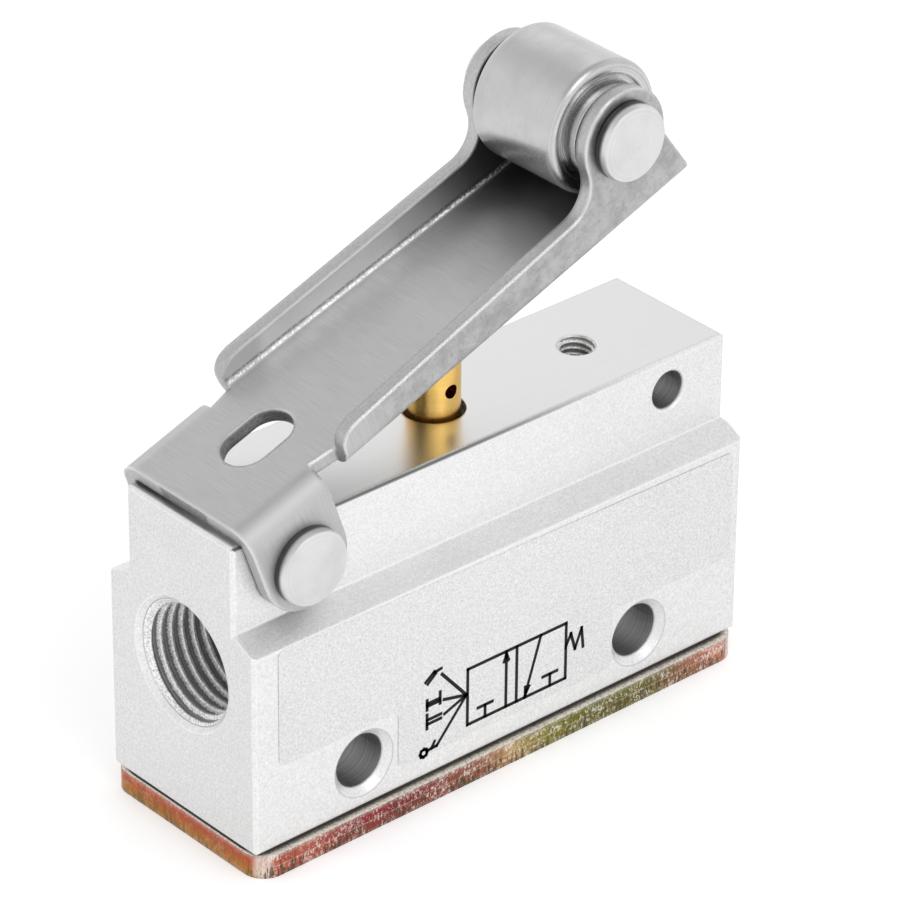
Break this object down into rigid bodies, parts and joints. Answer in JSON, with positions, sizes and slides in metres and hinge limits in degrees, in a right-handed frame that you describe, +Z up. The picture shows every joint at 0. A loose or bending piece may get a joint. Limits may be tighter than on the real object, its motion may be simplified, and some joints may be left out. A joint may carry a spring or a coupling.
{
  "type": "roller lever air valve",
  "caption": "Air valve worked by a roller lever: a block body with threaded end ports, a stamped lever on a headed pin and a sprung plunger that opens a poppet inside.",
  "frame": {"origin": "middle of the underside of the base plate", "axes": "+X from the inlet port under the lever's pivot to the outlet port, +Y across the body away from the printed side, +Z up"},
  "size_m": [0.064, 0.0232, 0.0705],
  "materials": {
    "anodised_aluminium": "bead-blasted and clear anodised",
    "chromated_zinc": "yellow chromated zinc plate, iridescent",
    "gasket_rubber": "matt",
    "screw_steel": "zinc plated",
    "guide_plastic": "matt black",
    "turned_brass": "fine turned",
    "seal_rubber": "satin",
    "spring_steel": "drawn wire",
    "lever_steel": "brushed across",
    "pin_steel": "satin",
    "roller_steel": "ground"
  },
  "bodies": {
    "housing": {"valve_body": "anodised_aluminium", "base_plate": "chromated_zinc", "base_gasket": "gasket_rubber", "base_screws": "screw_steel", "stem_guide": "guide_plastic", "valve_seat": "turned_brass", "seat_ring_seal": "seal_rubber", "plunger_spring": "spring_steel", "poppet_spring": "spring_steel", "spring_cup": "screw_steel"},
    "lever_arm": {"lever": "lever_steel", "pivot_pin": "pin_steel", "roller_axle": "pin_steel"},
    "roller_set": {"roller": "roller_steel", "roller_bush_front": "pin_steel", "roller_bush_back": "pin_steel"},
    "plunger_set": {"plunger": "turned_brass", "plunger_ring_seal": "seal_rubber"},
    "poppet_set": {"poppet": "turned_brass", "poppet_face": "seal_rubber"}
  },
  "joints": [
    {"name": "lever_pivot", "type": "hinge", "parent": "housing", "child": "lever_arm", "pos_m": [-0.0243, 0, 0.0325], "axis": [0, 1, 0], "range_deg": [0, 10.5], "stiffness_Nm_per_rad": 1.4, "springref_deg": -8.59},
    {"name": "roller_spin", "type": "hinge", "parent": "lever_arm", "child": "roller_set", "pos_m": [0.01659, 0, 0.06353], "axis": [0, 1, 0], "continuous": true},
    {"name": "plunger_slide", "type": "slide", "parent": "housing", "child": "plunger_set", "axis": [0, 0, -1], "range_m": [0, 0.00495], "deforming": ["plunger_spring"]},
    {"name": "poppet_slide", "type": "slide", "parent": "housing", "child": "poppet_set", "axis": [0, 0, -1], "range_m": [0, 0.00348], "deforming": ["poppet_spring"]}
  ],
  "couplings": [
    {"joint": "plunger_slide", "follows": "lever_pivot", "m_per_rad": 0.026454},
    {"joint": "poppet_slide", "follows": "lever_pivot", "m_per_rad": 0.018433}
  ]
}
